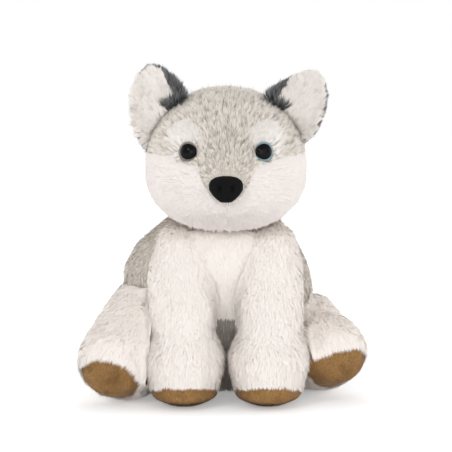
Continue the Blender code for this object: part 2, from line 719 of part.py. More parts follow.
def build_leg(name, form, plane, body, beside):
    """A leg's cover, its sole behind the given plane, and its stuffing, clear of body and of other legs."""
    point, normal = plane
    half_gap = normal * GAP / 2
    cover = panel_shell(f"{name}_leg", form, CLOTH, ("white_pile", WHITE_PILE))
    boolean(cover, slab("tool", point + half_gap, normal), "DIFFERENCE")
    sole = panel_shell(f"{name}_sole", form, CLOTH, ("brown_velvet", BROWN_VELVET))
    boolean(sole, slab("tool", point - half_gap, normal), "INTERSECT")
    stuffing = solid(f"{name}_leg_stuffing", form, -CLOTH - GAP, ("stuffing", STUFFING_WHITE))
    for piece in (cover, stuffing):
        clear_of(piece, [*body, *beside])
    clear_of(sole, beside)


def build():
    """Models every piece of the dog."""
    for old in list(bpy.data.objects):
        bpy.data.objects.remove(old)
    torso, head = torso_form(), head_form()
    fronts = {side: front_leg_form(side) for side in SIDES}
    hinds = {side: hind_leg_form(side) for side in SIDES}

    head_pieces = build_head(head)
    for side in SIDES:
        build_eye(side, head, head_pieces)
        build_ear(side, head)
    build_nose(head, head_pieces)
    build_torso(torso, head)

    toe = Vector((0, FRONT_LEG_Y - FRONT_PAW_DEPTH / 2, FRONT_SOLE_RISE))
    heel = Vector((0, FRONT_LEG_Y + FRONT_PAW_DEPTH / 2, SOLE_HEEL_RISE))
    tilt = (heel - toe).normalized()
    up = Vector((1, 0, 0)).cross(tilt).normalized()
    done = []
    for side in SIDES:
        build_leg(f"{side}_front", fronts[side], (toe, up), [torso, head], done)
        done.append(fronts[side])
    for side in SIDES:
        frame = hind_leg_frame(side)
        behind = (frame.to_3x3() @ Vector((0, HIND_SOLE_TILT, -1))).normalized()
        edge = frame @ Vector((0, HIND_SOLE_EDGE + HIND_LIFT[side], HIND_LENGTH[side] - HIND_SOLE_DEPTH))
        build_leg(f"{side}_hind", hinds[side], (edge, behind), [torso], [fronts[side]])

    tail = tail_form()
    tail_cover = panel_shell("tail", tail, CLOTH, ("grey_pile", GREY_PILE))
    tail_fill = solid("tail_stuffing", tail, -CLOTH - GAP, ("stuffing", STUFFING_WHITE))
    for piece in (tail_cover, tail_fill):
        clear_of(piece, [torso])

    for piece in list(bpy.data.objects):
        smooth(piece)


build()
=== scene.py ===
import math

import bpy
import numpy as np
from mathutils import Matrix, Vector
from mathutils.bvhtree import BVHTree
from mathutils.kdtree import KDTree


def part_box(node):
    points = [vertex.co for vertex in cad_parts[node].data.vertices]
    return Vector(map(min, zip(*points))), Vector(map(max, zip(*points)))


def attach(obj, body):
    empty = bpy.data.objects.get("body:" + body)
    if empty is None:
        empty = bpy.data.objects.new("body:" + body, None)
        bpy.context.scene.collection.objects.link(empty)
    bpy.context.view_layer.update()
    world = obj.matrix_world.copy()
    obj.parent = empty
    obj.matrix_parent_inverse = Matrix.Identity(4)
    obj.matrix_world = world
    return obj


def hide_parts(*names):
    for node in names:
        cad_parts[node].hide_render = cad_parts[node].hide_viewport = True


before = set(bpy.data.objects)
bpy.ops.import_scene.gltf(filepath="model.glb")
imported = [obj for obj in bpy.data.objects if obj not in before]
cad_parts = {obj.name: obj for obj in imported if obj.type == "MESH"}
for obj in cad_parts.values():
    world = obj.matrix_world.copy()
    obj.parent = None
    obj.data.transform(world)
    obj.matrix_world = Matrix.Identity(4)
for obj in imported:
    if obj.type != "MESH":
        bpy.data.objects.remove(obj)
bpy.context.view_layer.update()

scene = bpy.context.scene
rng = np.random.default_rng(11)
MM = 0.001
SIDES = {"left": 1, "right": -1}  # the dog's own sides, with the sign of X

# The dog's fixed points
NOSE_TIP = np.array((0.0, -0.116, 0.183))
NOSE_MIDDLE = np.array((0.0, -0.104, 0.182))
NOSE_REACH = 13.5 * MM  # from its middle to its side
NOSTRIL_X = 5.2 * MM
EYE_TURN = math.radians(34)
EYE_TILT = 0.10
EYE_RADIUS = 8.5 * MM
EYE_DOME = 7.0 * MM
EYE_SHANK = 2.25 * MM
EYE_SHANK_LENGTH = 13.0 * MM
PUPIL_INWARDS = 0.26  # of the radius
BROW_X = 0.0330
BROW_Z = 0.2205
EAR_ROOTS = {"left": np.array((0.044, -0.038, 0.222)), "right": np.array((-0.046, -0.038, 0.226))}
HIND_LAY = {"left": (0.40, -0.30, -1.0), "right": (-0.45, -0.30, -1.0)}

# The camera, and the cloth
PHOTO_WIDTH = 0.3896  # metres across the photo, at the dog
CAMERA_RISE = math.radians(6)
CAMERA_REACH = 1.5
SENSOR = 36
PRESSURE = 4
LAST_FRAME = 20
SWELL = 2.0 * MM
LOWEST_SKIN = 0.6 * MM
LOWEST_PILE = 0.3 * MM
BACKING = 1.0 * MM
STRAYS = 0.02
KNEE = 0.45  # how far up a strand its bend is
SUNK = 0.3 * MM  # how deep a strand starts in its backing


def deselect():
    bpy.ops.object.select_all(action="DESELECT")


# Camera and stage

def camera():
    """The photo's view: a long lens, a little above the floor."""
    target = Vector((0.0, -0.030, 0.144))
    data = bpy.data.cameras.new("camera")
    data.sensor_width = SENSOR
    data.lens = SENSOR * CAMERA_REACH / PHOTO_WIDTH
    view = bpy.data.objects.new("camera", data)
    back = Vector((0, -math.cos(CAMERA_RISE), math.sin(CAMERA_RISE)))
    view.location = target + back * CAMERA_REACH
    view.rotation_euler = (-back).to_track_quat("-Z", "Y").to_euler()
    scene.collection.objects.link(view)
    scene.camera = view


def lamp(name, place, size, watts, aim=(0, 0, 0.13)):
    """A soft box that faces the dog."""
    data = bpy.data.lights.new(name, "AREA")
    data.shape = "SQUARE"
    data.size = size
    data.energy = watts
    box = bpy.data.objects.new(name, data)
    box.location = place
    box.rotation_euler = (Vector(aim) - Vector(place)).to_track_quat("-Z", "Y").to_euler()
    scene.collection.objects.link(box)


def maths(tree, operation, first, second):
    node = tree.nodes.new("ShaderNodeMath")
    node.operation = operation
    tree.links.new(first, node.inputs[0])
    tree.links.new(second, node.inputs[1])
    return node.outputs[0]


def stretched(tree, value, start, end, low=0.0, high=1.0):
    """A value's run from start to end, mapped to low and high and held there."""
    node = tree.nodes.new("ShaderNodeMapRange")
    for label, number in (("From Min", start), ("From Max", end), ("To Min", low), ("To Max", high)):
        node.inputs[label].default_value = number
    tree.links.new(value, node.inputs["Value"])
    return node.outputs[0]


def seen_directly(tree):
    """A mask of 1 where the camera looks straight, or through gloss or glass."""
    path = tree.nodes.new("ShaderNodeLightPath")
    seen = maths(tree, "MAXIMUM", path.outputs["Is Camera Ray"], path.outputs["Is Glossy Ray"])
    return maths(tree, "MAXIMUM", seen, path.outputs["Is Transmission Ray"])


def stage():
    """A plain white floor that keeps the dog's shadow, and a white surround."""
    world = bpy.data.worlds.new("surround")
    scene.world = world
    world.use_nodes = True
    tree = world.node_tree
    background = tree.nodes["Background"]
    background.inputs["Color"].default_value = (1, 1, 1, 1)
    strength = stretched(tree, seen_directly(tree), 0.0, 1.0, 0.62, 1.0)
    tree.links.new(strength, background.inputs["Strength"])

    deselect()
    bpy.ops.mesh.primitive_plane_add(size=8, location=(0, 0, 0))
    floor = bpy.context.object
    floor.name = "floor"
    look = bpy.data.materials.new("white_floor")
    look.use_nodes = True
    tree = look.node_tree
    paint = tree.nodes["Principled BSDF"]
    paint.inputs["Base Color"].default_value = (0.86, 0.86, 0.86, 1)
    paint.inputs["Roughness"].default_value = 0.9
    paint.inputs["Specular IOR Level"].default_value = 0.1
    where = tree.nodes.new("ShaderNodeTexCoord")
    far = tree.nodes.new("ShaderNodeVectorMath")
    far.operation = "LENGTH"
    tree.links.new(where.outputs["Object"], far.inputs[0])
    # far from the dog the floor is as white as the surround, and near it the shadow shows
    glow = stretched(tree, far.outputs["Value"], 0.16, 0.50, 0.30, 1.0)
    light = tree.nodes.new("ShaderNodeEmission")
    tree.links.new(maths(tree, "MULTIPLY", seen_directly(tree), glow), light.inputs["Strength"])
    both = tree.nodes.new("ShaderNodeAddShader")
    tree.links.new(paint.outputs[0], both.inputs[0])
    tree.links.new(light.outputs[0], both.inputs[1])
    tree.links.new(both.outputs[0], tree.nodes["Material Output"].inputs["Surface"])
    floor.data.materials.append(look)

    lamp("key_lamp", (-0.9, -1.6, 1.1), 0.35, 7)
    lamp("fill_lamp", (1.3, -1.5, 0.7), 1.2, 5)
    lamp("low_lamp", (0.1, -1.9, 0.35), 1.2, 12.5, (0, 0, 0.06))
    lamp("top_lamp", (0.1, 0.5, 1.8), 1.2, 3)
    lamp("left_lamp", (1.7, 0.3, 0.5), 1.2, 10, (0, 0, 0.08))
    lamp("right_lamp", (-1.7, 0.3, 0.5), 1.2, 9, (0, 0, 0.08))
    scene.view_settings.view_transform = "Standard"
    scene.cycles.max_bounces = 16  # light finds its way down between pale strands
    scene.cycles.diffuse_bounces = 10


# Finishes

def attribute(tree, name):
    node = tree.nodes.new("ShaderNodeAttribute")
    node.attribute_name = name
    return node.outputs["Fac"]


def mix(tree, share, first, second, blend="MIX"):
    node = tree.nodes.new("ShaderNodeMix")
    node.data_type = "RGBA"
    node.blend_type = blend
    for socket, value in ((node.inputs["Factor"], share), (node.inputs[6], first), (node.inputs[7], second)):
        if isinstance(value, bpy.types.NodeSocket):
            tree.links.new(value, socket)
        else:
            socket.default_value = value
    return node.outputs[2]


def pile_colour():
    """The colour along a pile strand: a root painted darker as shade, then body and tip, with streaks by tuft
    and a wide drift.
    """
    tree = bpy.data.node_groups.new("pile_colour", "ShaderNodeTree")
    for label in ("Root", "Body", "Tip", "Streak", "Pale"):
        tree.interface.new_socket(label, in_out="INPUT", socket_type="NodeSocketColor")
    for label in ("Drift", "Streaks"):
        tree.interface.new_socket(label, in_out="INPUT", socket_type="NodeSocketFloat")
    tree.interface.new_socket("Color", in_out="OUTPUT", socket_type="NodeSocketColor")
    given = tree.nodes.new("NodeGroupInput").outputs
    along = attribute(tree, "along")
    # darker towards the root: painted shade deep in the pile
    shaft = mix(tree, stretched(tree, along, 0.0, KNEE), given["Root"], given["Body"])
    shaft = mix(tree, stretched(tree, along, KNEE, 1.0), shaft, given["Tip"])
    dark = stretched(tree, attribute(tree, "tint"), 0.42, 0.10)
    streaked = mix(tree, maths(tree, "MULTIPLY", dark, given["Streaks"]), shaft, given["Streak"])
    cloud = stretched(tree, noise(tree, 38), 0.3, 0.7)
    drifted = mix(tree, maths(tree, "MULTIPLY", cloud, given["Drift"]), streaked, given["Root"])
    result = mix(tree, attribute(tree, "pale"), drifted, given["Pale"])
    tree.links.new(result, tree.nodes.new("NodeGroupOutput").inputs["Color"])
    return tree


def plain(material_name, roughness, sheen=0.0, sheen_roughness=0.5, specular=0.3):
    look = bpy.data.materials.new(material_name)
    look.use_nodes = True
    skin = look.node_tree.nodes["Principled BSDF"]
    skin.inputs["Roughness"].default_value = roughness
    skin.inputs["Sheen Weight"].default_value = sheen
    skin.inputs["Sheen Roughness"].default_value = sheen_roughness
    skin.inputs["Specular IOR Level"].default_value = specular
    return look, look.node_tree, skin


def pile(material_name, group, root, body, tip, streak, pale, drift, streaks, sheen):
    look, tree, skin = plain(material_name, 0.85, sheen, 0.45, 0.12)
    colour = tree.nodes.new("ShaderNodeGroup")
    colour.node_tree = group
    for label, value in (("Root", root), ("Body", body), ("Tip", tip), ("Streak", streak), ("Pale", pale)):
        colour.inputs[label].default_value = (*value, 1)
    colour.inputs["Drift"].default_value = drift
    colour.inputs["Streaks"].default_value = streaks
    tree.links.new(colour.outputs["Color"], skin.inputs["Base Color"])
    return look


def noise(tree, scale, detail=3.0):
    where = tree.nodes.new("ShaderNodeTexCoord")
    node = tree.nodes.new("ShaderNodeTexNoise")
    node.inputs["Scale"].default_value = scale
    node.inputs["Detail"].default_value = detail
    tree.links.new(where.outputs["Object"], node.inputs["Vector"])
    return node.outputs["Fac"]


def grained(made, cloud, dark, light, grain, strength, distance):
    """A finish that drifts between two tones and has a fine bump."""
    look, tree, skin = made
    tree.links.new(mix(tree, noise(tree, *cloud), dark, light), skin.inputs["Base Color"])
    bump = tree.nodes.new("ShaderNodeBump")
    bump.inputs["Strength"].default_value = strength
    bump.inputs["Distance"].default_value = distance
    tree.links.new(noise(tree, *grain), bump.inputs["Height"])
    tree.links.new(bump.outputs[0], skin.inputs["Normal"])
    return look


def finishes():
    group = pile_colour()
    looks = {}
    looks["white_pile"] = pile(
        "white_pile", group, (0.93, 0.88, 0.83), (0.965, 0.92, 0.88), (0.98, 0.94, 0.905),
        (0.90, 0.85, 0.80), (0.98, 0.94, 0.905), 0.12, 0.3, 0.12)
    looks["grey_pile"] = pile(
        "grey_pile", group, (0.46, 0.41, 0.355), (0.81, 0.752, 0.675), (0.94, 0.895, 0.83),
        (0.30, 0.27, 0.245), (0.94, 0.90, 0.87), 0.22, 0.75, 0.10)
    # the white lining pile with much darker roots and streaks: painted shade among the tufts inside the ear
    looks["painted_shade_lining_pile"] = pile(
        "painted_shade_lining_pile", group, (0.60, 0.55, 0.50), (0.90, 0.86, 0.82), (0.98, 0.94, 0.905),
        (0.55, 0.50, 0.46), (0.98, 0.94, 0.905), 0.3, 0.4, 0.12)
    # a darker copy of the white pile: painted shade for the self-shadow that the cheeks' short, flat pile lacks
    looks["painted_shade_cheek_pile"] = pile(
        "painted_shade_cheek_pile", group, (0.82, 0.765, 0.735), (0.87, 0.815, 0.785), (0.895, 0.84, 0.815),
        (0.80, 0.74, 0.71), (0.895, 0.84, 0.815), 0.12, 0.3, 0.12)
    # a darker copy of the white pile: painted shade against the extra light that falls on the upturned brow
    # patches
    looks["painted_shade_brow_pile"] = pile(
        "painted_shade_brow_pile", group, (0.70, 0.66, 0.62), (0.85, 0.815, 0.78), (0.92, 0.885, 0.85),
        (0.60, 0.56, 0.52), (0.88, 0.845, 0.81), 0.3, 0.5, 0.12)
    looks["dark_pile"] = pile(
        "dark_pile", group, (0.035, 0.036, 0.040), (0.075, 0.077, 0.082), (0.36, 0.355, 0.35),
        (0.010, 0.011, 0.013), (0.80, 0.78, 0.76), 0.3, 0.8, 0.10)
    looks["brown_velvet"] = pile(
        "brown_velvet", group, (0.17, 0.088, 0.032), (0.48, 0.270, 0.100), (0.66, 0.40, 0.185),
        (0.15, 0.078, 0.030), (0.66, 0.43, 0.22), 0.65, 0.85, 0.15)

    looks["stuffing"] = grained(plain("stuffing_fibre", 0.95, 0.2), (160, 5), (0.78, 0.78, 0.76, 1),
                                (0.92, 0.92, 0.90, 1), (420, 6), 0.6, 1.5 * MM)
    looks["nylon"] = grained(plain("nylon", 0.45), (90, 3), (0.66, 0.66, 0.64, 1),
                             (0.74, 0.74, 0.72, 1), (900, 4), 0.2, 0.2 * MM)
    looks["nose_flock"] = grained(plain("nose_flock", 0.75, 0.0, 0.4, 0.05), (1400, 4),
                                  (0.002, 0.002, 0.002, 1), (0.009, 0.009, 0.009, 1), (1700, 5), 0.75, 0.4 * MM)

    for side, ring in (("left", (0.20, 0.31, 0.34)), ("right", (0.21, 0.18, 0.158))):
        look, tree, skin = plain(f"{side}_eye_gloss", 0.05, 0.0, 0.5, 0.09)
        ramp = tree.nodes.new("ShaderNodeValToRGB")
        bands = ramp.color_ramp.elements
        bands[0].position, bands[0].color = 0.60, (0.002, 0.002, 0.002, 1)
        bands[1].position, bands[1].color = 0.63, (*ring, 1)
        bands.new(0.78).color = (*(1.25 * value for value in ring), 1)
        bands.new(0.84).color = (0.006, 0.006, 0.006, 1)
        tree.links.new(attribute(tree, "from_middle"), ramp.inputs["Fac"])
        fleck = mix(tree, noise(tree, 520, 4), (0.55, 0.55, 0.55, 1), (1.3, 1.3, 1.3, 1))
        tone = mix(tree, 1.0, ramp.outputs["Color"], fleck, "MULTIPLY")
        tree.links.new(tone, skin.inputs["Base Color"])
        looks[f"{side}_eye"] = look
    return looks


# Cloth skins over the stuffed sections

def apply(piece, kind, **settings):
    """A modifier, set and applied."""
    bpy.context.view_layer.objects.active = piece
    modifier = piece.modifiers.new(kind.lower(), kind)
    for key, value in settings.items():
        setattr(modifier, key, value)
    bpy.ops.object.modifier_apply(modifier=modifier.name)


def joined(label, names):
    """Copies of CAD solids, merged point by point and joined."""
    deselect()
    for name in names:
        copy = bpy.data.objects.new(f"{label}_{name}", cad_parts[name].data.copy())
        copy.data.materials.clear()
        scene.collection.objects.link(copy)
        copy.select_set(True)
        bpy.context.view_layer.objects.active = copy
    if len(names) > 1:
        bpy.ops.object.join()
    piece = bpy.context.view_layer.objects.active
    piece.name = label
    bpy.ops.object.mode_set(mode="EDIT")
    bpy.ops.mesh.select_all(action="SELECT")
    bpy.ops.mesh.remove_doubles(threshold=0.02 * MM)
    bpy.ops.object.mode_set(mode="OBJECT")
    return piece


def outer_part(piece):
    """Keeps the largest of a mesh's loose parts: the outer surface."""
    deselect()
    piece.select_set(True)
    bpy.context.view_layer.objects.active = piece
    bpy.ops.object.mode_set(mode="EDIT")
    bpy.ops.mesh.select_all(action="SELECT")
    bpy.ops.mesh.separate(type="LOOSE")
    bpy.ops.object.mode_set(mode="OBJECT")
    parts = sorted(bpy.context.selected_objects, key=lambda part: len(part.data.vertices))
    for part in parts[:-1]:
        bpy.data.objects.remove(part)
    return parts[-1]


def skin_of(label, names, voxel, rounds, inset):
    """One smooth closed skin round a section's solids, set back to where the backing cloth lies."""
    piece = joined(label, names)
    apply(piece, "REMESH", mode="VOXEL", voxel_size=voxel)
    piece = outer_part(piece)
    apply(piece, "SMOOTH", factor=0.5, iterations=rounds)
    apply(piece, "DISPLACE", strength=-inset, mid_level=0.0)
    apply(piece, "SMOOTH", factor=0.5, iterations=2)
    return piece


def stuffed(piece, swell):
    """The skin blown up by its filling as cloth, each point kept within a swell of where it began."""
    start, _ = arrays(piece)
    bpy.context.view_layer.objects.active = piece
    modifier = piece.modifiers.new("cloth", "CLOTH")
    modifier.settings.quality = 4
    modifier.settings.use_pressure = True
    modifier.settings.uniform_pressure_force = PRESSURE
    modifier.settings.effector_weights.gravity = 0
    modifier.point_cache.frame_start = 1
    modifier.point_cache.frame_end = LAST_FRAME
    for step in range(1, LAST_FRAME + 1):
        scene.frame_set(step)
    bpy.ops.object.modifier_apply(modifier=modifier.name)
    scene.frame_set(1)
    end, _ = arrays(piece)
    move = end - start
    far = np.linalg.norm(move, axis=1, keepdims=True)
    spots = start + move * np.minimum(1, swell / np.maximum(far, 1e-9))
    spots[:, 2] = np.maximum(spots[:, 2], LOWEST_SKIN)
    piece.data.vertices.foreach_set("co", spots.ravel())
    piece.data.update()


def arrays(piece):
    """Points and point normals of a mesh."""
    mesh = piece.data
    points = np.zeros(len(mesh.vertices) * 3)
    mesh.vertices.foreach_get("co", points)
    normals = np.zeros(len(mesh.vertices) * 3, np.float32)
    mesh.vertex_normals.foreach_get("vector", normals)
    return points.reshape(-1, 3), normals.reshape(-1, 3).astype(float)


def tree_of(mesh):
    return BVHTree.FromPolygons([v.co for v in mesh.vertices], [tuple(p.vertices) for p in mesh.polygons])


def share_out(piece, names, inset):
    """Gives each face of a skin to the cloth panel that lies nearest, and smooths the seams between them."""
    mesh = piece.data
    faces = [tuple(polygon.vertices) for polygon in mesh.polygons]
    trees = [tree_of(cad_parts[name].data) for name in names]
    owner = np.zeros(len(faces), int)
    if len(names) > 1:
        for k, polygon in enumerate(mesh.polygons):
            spot = polygon.center + polygon.normal * inset
            owner[k] = min(range(len(names)), key=lambda n: trees[n].find_nearest(spot)[3])
        sharing = {}
        for k, face in enumerate(faces):
            for a, b in zip(face, face[1:] + face[:1]):
                sharing.setdefault((min(a, b), max(a, b)), []).append(k)
        for _ in range(2):
            votes = np.zeros((len(faces), len(names)))
            votes[np.arange(len(faces)), owner] += 1.5
            for pair in sharing.values():
                if len(pair) == 2:
                    votes[pair[0], owner[pair[1]]] += 1
                    votes[pair[1], owner[pair[0]]] += 1
            owner = votes.argmax(1)
        seam = [edge for edge, pair in sharing.items() if len(pair) == 2 and owner[pair[0]] != owner[pair[1]]]
        points, normals = arrays(piece)
        near = {}
        for a, b in seam:
            near.setdefault(a, []).append(b)
            near.setdefault(b, []).append(a)
        for _ in range(5):
            moved = {a: (points[a] + points[others].mean(0)) / 2 for a, others in near.items()}
            for a, spot in moved.items():
                points[a] = spot
        for a in near:
            points[a] -= normals[a] * 0.9 * MM
        mesh.vertices.foreach_set("co", points.ravel())
        mesh.update()
    return faces, owner


# Pile

def unit(vectors):
    return vectors / np.maximum(np.linalg.norm(vectors, axis=1, keepdims=True), 1e-12)


def clear_of_eyes_and_nose(spots, lay, lengths):
    """Pile lies away from an eye or the nose, and is short beside it."""
    for centre, radius in [(spot, EYE_RADIUS) for spot in eyes.values()] + [(NOSE_MIDDLE, NOSE_REACH)]:
        away = spots - centre
        gap = np.linalg.norm(away, axis=1) - radius
        share = np.clip(1 - gap / 0.007, 0, 1)[:, None]
        if radius == EYE_RADIUS:  # from the bridge it lies on over the eye's edge
            towards = unit((centre - NOSE_TIP)[None])[0]
            share = share * (1 - 0.75 * np.clip(-unit(away) @ towards, 0, 1))[:, None]
        lay = lay * (1 - share) + unit(away) * share
        lengths = lengths * (1 - 0.55 * share[:, 0])
    return lay, lengths


def grow(points, normals, triangles, plan, blockers):
    """Strands of pile on a skin, gathered in tufts. Each is a bent blade of two faces."""
    corners = points[triangles]
    area = np.linalg.norm(np.cross(corners[:, 1] - corners[:, 0], corners[:, 2] - corners[:, 0]), axis=1) / 2
    middles = corners.mean(1)
    facing = unit(normals[triangles].mean(1))
    weight = area * (plan["thick"](middles, facing) if "thick" in plan else 1.0)
    for tree, low, high in blockers:  # none grows where a neighbour's cloth lies against it
        inside = np.all((middles > low) & (middles < high), axis=1)
        for k in np.nonzero(inside)[0]:
            spot = Vector(middles[k] + facing[k] * 3.0 * MM)
            hit, normal, _, _ = tree.find_nearest(spot)
            if (spot - hit).dot(normal) < 0:
                weight[k] = 0

    def scatter(count):
        reach = np.cumsum(weight)
        pick = np.searchsorted(reach, (np.arange(count) + rng.random(count)) / count * reach[-1])
        pick = np.minimum(pick, len(triangles) - 1)
        a, b = rng.random((2, count, 1))
        flip = a + b > 1
        a, b = np.where(flip, 1 - a, a), np.where(flip, 1 - b, b)
        c = 1 - a - b
        three = triangles[pick]
        spot = c * points[three[:, 0]] + a * points[three[:, 1]] + b * points[three[:, 2]]
        up = unit(c * normals[three[:, 0]] + a * normals[three[:, 1]] + b * normals[three[:, 2]])
        return spot, up

    def combed(spot, up, wander):
        lay = plan["lay"](spot, up)
        lengths = np.full(len(spot), plan["length"])
        if "trim" in plan:
            lengths = lengths * plan["trim"](spot, up)
        if plan.get("face"):
            lay, lengths = clear_of_eyes_and_nose(spot, lay, lengths)
        lay = lay + rng.normal(0, wander, lay.shape)
        flat = lay - up * np.sum(lay * up, axis=1, keepdims=True)
        return unit(flat), lengths

    # each strand leans its own way, and its tip is pulled towards the tip of its tuft
    count = plan["count"]
    root, up = scatter(count)
    tufts = max(8, int(area[weight > 0].sum() / plan["tuft"] ** 2))
    middle, tuft_up = scatter(tufts)
    finder = KDTree(tufts)
    for k, spot in enumerate(middle):
        finder.insert(spot, k)
    finder.balance()
    own = np.array([finder.find(spot)[1] for spot in root])
    lean = math.radians(plan["lean"])
    tuft_lay, tuft_length = combed(middle, tuft_up, plan.get("stray", 0.25))
    tuft_lean = (lean + rng.normal(0, 0.12, tufts))[:, None]
    tuft_tip = middle + tuft_length[:, None] * (tuft_up * np.cos(tuft_lean) + tuft_lay * np.sin(tuft_lean))
    lay, lengths = combed(root, up, 0.14)
    lengths = lengths * rng.uniform(0.75, 1.1, count)
    stray = rng.random(count) < STRAYS
    lengths = np.where(stray, 1.1 * lengths, lengths)
    own_lean = (lean + rng.normal(0, 0.14, count) - 0.25 * stray)[:, None]
    rise = up * np.cos(own_lean)
    run = lay * np.sin(own_lean)
    tip = root + lengths[:, None] * (rise + run)
    pull = plan["pull"] * (rng.uniform(0.6, 1.0, count) * ~stray)[:, None]
    off = root - middle[own]
    tip = tip * (1 - pull) + (tuft_tip[own] + 0.3 * off) * pull
    straight = tip - root
    bend = root + KNEE * straight + up * (0.14 * lengths[:, None])
    # its width lies across it, turned a little, and its shading follows the tuft's roundness
    heading = unit(straight)
    across = unit(np.cross(heading, up))
    twist = rng.normal(0, 0.3, count)[:, None]
    across = across * np.cos(twist) + np.cross(heading, across) * np.sin(twist)
    half = 0.5 * plan["width"] * rng.uniform(0.75, 1.25, count)[:, None]
    base = root - up * SUNK
    made = np.stack([base, bend - across * half, bend + across * half, tip], axis=1)
    made[..., 2] = np.maximum(made[..., 2], LOWEST_PILE + rng.random((count, 1)) * 0.3 * MM)
    spread = off / plan["tuft"]
    round_up = unit(up + plan.get("round", 0.7) * spread + rng.normal(0, 0.10, up.shape))
    shade = np.stack([unit(up + round_up)] + [round_up] * 3, axis=1)
    tuft_tone = rng.random(tufts)
    tint = np.clip(0.62 * tuft_tone[own] + 0.38 * rng.random(count), 0, 1)
    # pile in this mask takes the darkest streak colour: painted shade between the front legs, on the grey cloth
    if "deep" in plan:
        tint = np.where(plan["deep"](root), 0.0, tint)
    pale = plan["pale"](root, up) if "pale" in plan else np.zeros(count)
    return {
        "points": made.reshape(-1, 3), "normals": shade.reshape(-1, 3),
        "along": np.tile((0.0, KNEE, KNEE, 1.0), count),
        "tint": np.repeat(tint, 4), "pale": np.repeat(pale, 4), "count": count}


def pile_piece(name, node, shell, strands, look):
    """One mesh of a backing cloth shell and its pile, with an even UV map named OFBake."""
    points, normals = arrays(shell)
    faces = [tuple(polygon.vertices) for polygon in shell.data.polygons]
    start = len(points)
    blade = np.array((0, 2, 1, 1, 2, 3))
    strand_loops = (np.arange(strands["count"])[:, None] * 4 + blade + start).ravel()
    shell_loops = np.array([i for face in faces for i in face], int)
    loops = np.concatenate([shell_loops, strand_loops])
    sizes = np.concatenate([[len(face) for face in faces], np.full(strands["count"] * 2, 3)]).astype(int)
    mesh = bpy.data.meshes.new(name)
    mesh.vertices.add(start + len(strands["points"]))
    mesh.vertices.foreach_set("co", np.concatenate([points, strands["points"]]).ravel())
    mesh.loops.add(len(loops))
    mesh.loops.foreach_set("vertex_index", loops)
    mesh.polygons.add(len(sizes))
    mesh.polygons.foreach_set("loop_start", np.concatenate([[0], np.cumsum(sizes)[:-1]]))
    mesh.update(calc_edges=True)
    mesh.polygons.foreach_set("use_smooth", np.ones(len(sizes), bool))
    still = np.ones(start)
    # the backing takes the colour a quarter along a strand, between the root's painted shade and the body
    for key, ground in (("along", 0.25), ("tint", 0.5), ("pale", 0.0)):
        values = np.concatenate([still * ground, strands[key]]).astype(np.float32)
        mesh.attributes.new(key, "FLOAT", "POINT").data.foreach_set("value", values)

    # one cell of the map for each face of the shell and each strand
    cells = len(faces) + strands["count"]
    across = math.ceil(math.sqrt(cells))
    cell = np.arange(cells)
    corner = np.stack([cell % across, cell // across], axis=1)
    square = np.array(((0.1, 0.1), (0.9, 0.1), (0.9, 0.9), (0.1, 0.9)))
    strip = np.array(((0.5, 0.05), (0.1, 0.5), (0.9, 0.5), (0.5, 0.95)))
    shell_map = np.array(
        [square[k % 4] + corner[n] for n, face in enumerate(faces) for k in range(len(face))])
    strand_map = (corner[len(faces):, None, :] + strip[blade][None]).reshape(-1, 2)
    layer = mesh.uv_layers.new(name="OFBake")
    whole_map = np.concatenate([shell_map, strand_map]) / across
    layer.uv.foreach_set("vector", whole_map.astype(np.float32).ravel())

    mesh.materials.append(look)
    piece = bpy.data.objects.new(name, mesh)
    scene.collection.objects.link(piece)
    own_normals = np.concatenate([normals, strands["normals"]]).astype(np.float32)
    mesh.normals_split_custom_set_from_vertices(own_normals)
    bpy.data.objects.remove(shell)
    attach(piece, "root")
    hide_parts(node)


def shell_of(points, faces, name):
    """The backing cloth under one panel, with its thickness turned inwards."""
    used = sorted({i for face in faces for i in face})
    place = {old: new for new, old in enumerate(used)}
    mesh = bpy.data.meshes.new(name)
    mesh.from_pydata([points[i] for i in used], [], [tuple(place[i] for i in face) for face in faces])
    piece = bpy.data.objects.new(name, mesh)
    scene.collection.objects.link(piece)
    apply(piece, "SOLIDIFY", thickness=BACKING, offset=-1.0)
    return piece


def filling(section, node):
    """The section's loose stuffing, drawn in a little from its cloth."""
    core = joined(f"{section}_filling", [node])
    apply(core, "REMESH", mode="VOXEL", voxel_size=6.0 * MM)
    core = outer_part(core)
    core.name = f"{section}_filling"
    apply(core, "SMOOTH", factor=0.5, iterations=5)
    apply(core, "DISPLACE", strength=-1.4 * MM, mid_level=0.0)
    core.data.polygons.foreach_set("use_smooth", np.ones(len(core.data.polygons), bool))
    core.data.materials.append(looks["stuffing"])
    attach(core, "root")
    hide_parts(node)


# The eyes and nose

def eye_seat(side):
    """An eye's axis, and the top of its dome."""
    axis = Vector((SIDES[side] * math.sin(EYE_TURN), -math.cos(EYE_TURN), EYE_TILT)).normalized()
    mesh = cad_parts[f"{side}_eye"].data
    return axis, max((v.co for v in mesh.vertices), key=lambda co: co.dot(axis))


